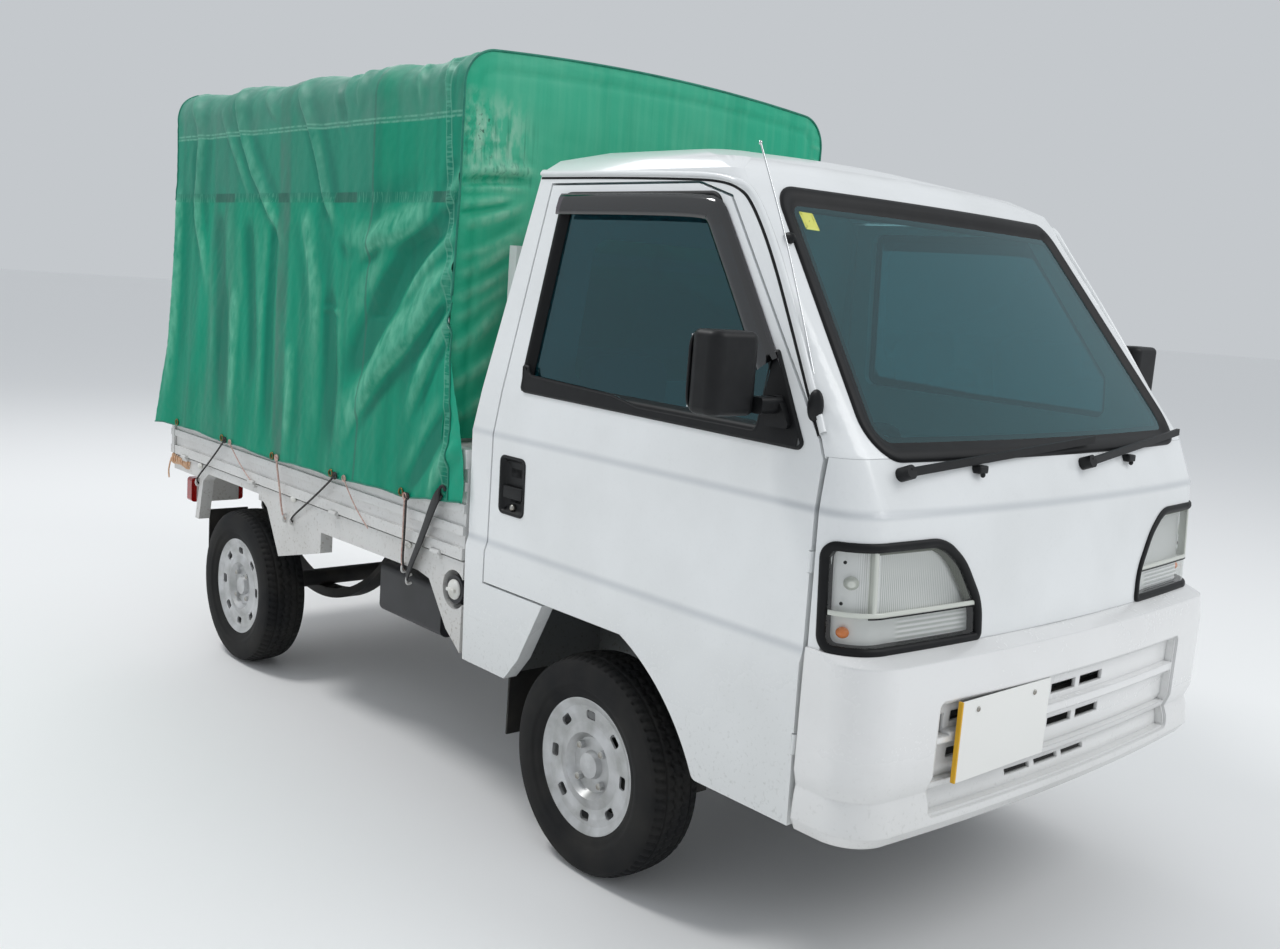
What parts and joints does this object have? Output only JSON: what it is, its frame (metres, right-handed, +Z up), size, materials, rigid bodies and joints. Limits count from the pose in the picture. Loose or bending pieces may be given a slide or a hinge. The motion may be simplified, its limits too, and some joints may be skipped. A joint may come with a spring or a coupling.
{
  "type": "cab-over kei truck with covered drop-side bed",
  "caption": "Small white cab-over truck with opening doors, drop-side load bed, hoops and a green tarpaulin cover laced over the bed.",
  "frame": {"origin": "on the ground, midway along and across the overall box", "axes": "front of the truck faces -Y, +X is its left side, +Z up"},
  "size_m": [1.708, 3.332, 1.9749],
  "materials": {
    "white_paint": "aged white enamel",
    "floor_paint": "grey painted floor",
    "white_plastic": "painted bumper moulding",
    "screen_glass": "clear glass with a green tint",
    "lamp_lens": "fluted clear lens",
    "red_lens": "red and amber lens",
    "black_plastic": "grained black plastic",
    "grey_plastic": "grained grey plastic",
    "chassis_paint": "black chassis paint",
    "black_paint": "satin black paint",
    "engine_metal": "cast aluminium",
    "exhaust_steel": "heat-stained steel",
    "hoop_steel": "galvanised tube",
    "wheel_steel": "silver enamel",
    "tyre_rubber": "worn rubber",
    "flap_rubber": "black rubber sheet",
    "cover_cloth": "green coated tarpaulin",
    "seat_vinyl": "grey vinyl"
  },
  "bodies": {
    "root": {"bed": "white_paint", "bumper": "white_plastic", "cab_floor": "floor_paint", "cab_shell": "white_paint", "chassis": "chassis_paint", "cover": "cover_cloth", "cover_hoops_front": "hoop_steel", "cover_hoops_rear": "hoop_steel", "curtain_left": "cover_cloth", "curtain_right": "cover_cloth", "dashboard": "grey_plastic", "drive_shaft": "chassis_paint", "engine": "engine_metal", "exhaust": "exhaust_steel", "front_panel": "white_paint", "front_suspension": "chassis_paint", "fuel_tank": "black_paint", "headlamp_left": "lamp_lens", "headlamp_right": "lamp_lens", "mud_flaps": "flap_rubber", "purlins": "hoop_steel", "rear_axle": "chassis_paint", "rear_window": "screen_glass", "seat_left": "seat_vinyl", "seat_right": "seat_vinyl", "steering_column": "grey_plastic", "tail_lamps": "red_lens", "windscreen": "screen_glass", "wipers": "black_plastic"},
    "door_right": {"door_right": "white_paint", "door_glass_right": "screen_glass", "mirror_right": "black_plastic"},
    "door_left": {"door_left": "white_paint", "door_glass_left": "screen_glass", "mirror_left": "black_plastic"},
    "side_gate_right": {"side_gate_right": "white_paint"},
    "side_gate_left": {"side_gate_left": "white_paint"},
    "tail_gate": {"tail_gate": "white_paint"},
    "knuckle_right": {"knuckle_right": "chassis_paint"},
    "knuckle_left": {"knuckle_left": "chassis_paint"},
    "steering_wheel": {"steering_wheel": "black_plastic"},
    "wheel_front_right": {"tyre_front_right": "tyre_rubber", "rim_front_right": "wheel_steel"},
    "wheel_front_left": {"tyre_front_left": "tyre_rubber", "rim_front_left": "wheel_steel"},
    "wheel_rear_right": {"tyre_rear_right": "tyre_rubber", "rim_rear_right": "wheel_steel"},
    "wheel_rear_left": {"tyre_rear_left": "tyre_rubber", "rim_rear_left": "wheel_steel"}
  },
  "joints": [
    {"name": "door_right_hinge", "type": "hinge", "parent": "root", "child": "door_right", "pos_m": [-0.691, -1.46, 0.72], "axis": [0, 0, 1], "range_deg": [0, 65]},
    {"name": "door_left_hinge", "type": "hinge", "parent": "root", "child": "door_left", "pos_m": [0.691, -1.46, 0.72], "axis": [0, 0, -1], "range_deg": [0, 65]},
    {"name": "side_gate_right_hinge", "type": "hinge", "parent": "root", "child": "side_gate_right", "pos_m": [-0.699, 0.636, 0.656], "axis": [0, -1, 0], "range_deg": [0, 175], "deforming": ["curtain_right"]},
    {"name": "side_gate_left_hinge", "type": "hinge", "parent": "root", "child": "side_gate_left", "pos_m": [0.699, 0.636, 0.656], "axis": [0, 1, 0], "range_deg": [0, 175], "deforming": ["curtain_left"]},
    {"name": "tail_gate_hinge", "type": "hinge", "parent": "root", "child": "tail_gate", "pos_m": [0, 1.62, 0.656], "axis": [-1, 0, 0], "range_deg": [0, 175]},
    {"name": "steer_right", "type": "hinge", "parent": "root", "child": "knuckle_right", "pos_m": [-0.556, -0.814, 0.152], "axis": [0.2012, 0, 0.9796], "range_deg": [-33, 33]},
    {"name": "steer_left", "type": "hinge", "parent": "root", "child": "knuckle_left", "pos_m": [0.556, -0.814, 0.152], "axis": [-0.2012, 0, 0.9796], "range_deg": [-33, 33]},
    {"name": "steering_wheel_turn", "type": "hinge", "parent": "root", "child": "steering_wheel", "pos_m": [-0.33, -1.159, 1.01], "axis": [0, 0.6157, 0.788], "range_deg": [-470, 470]},
    {"name": "wheel_front_right_spin", "type": "hinge", "parent": "knuckle_right", "child": "wheel_front_right", "pos_m": [-0.6025, -0.814, 0.264], "axis": [1, 0, 0], "continuous": true},
    {"name": "wheel_front_left_spin", "type": "hinge", "parent": "knuckle_left", "child": "wheel_front_left", "pos_m": [0.6025, -0.814, 0.264], "axis": [1, 0, 0], "continuous": true},
    {"name": "wheel_rear_right_spin", "type": "hinge", "parent": "root", "child": "wheel_rear_right", "pos_m": [-0.6075, 1.086, 0.264], "axis": [1, 0, 0], "continuous": true},
    {"name": "wheel_rear_left_spin", "type": "hinge", "parent": "root", "child": "wheel_rear_left", "pos_m": [0.6075, 1.086, 0.264], "axis": [1, 0, 0], "continuous": true}
  ],
  "couplings": [
    {"joint": "steer_left", "follows": "steer_right", "ratio": 1},
    {"joint": "steering_wheel_turn", "follows": "steer_right", "ratio": 14}
  ]
}
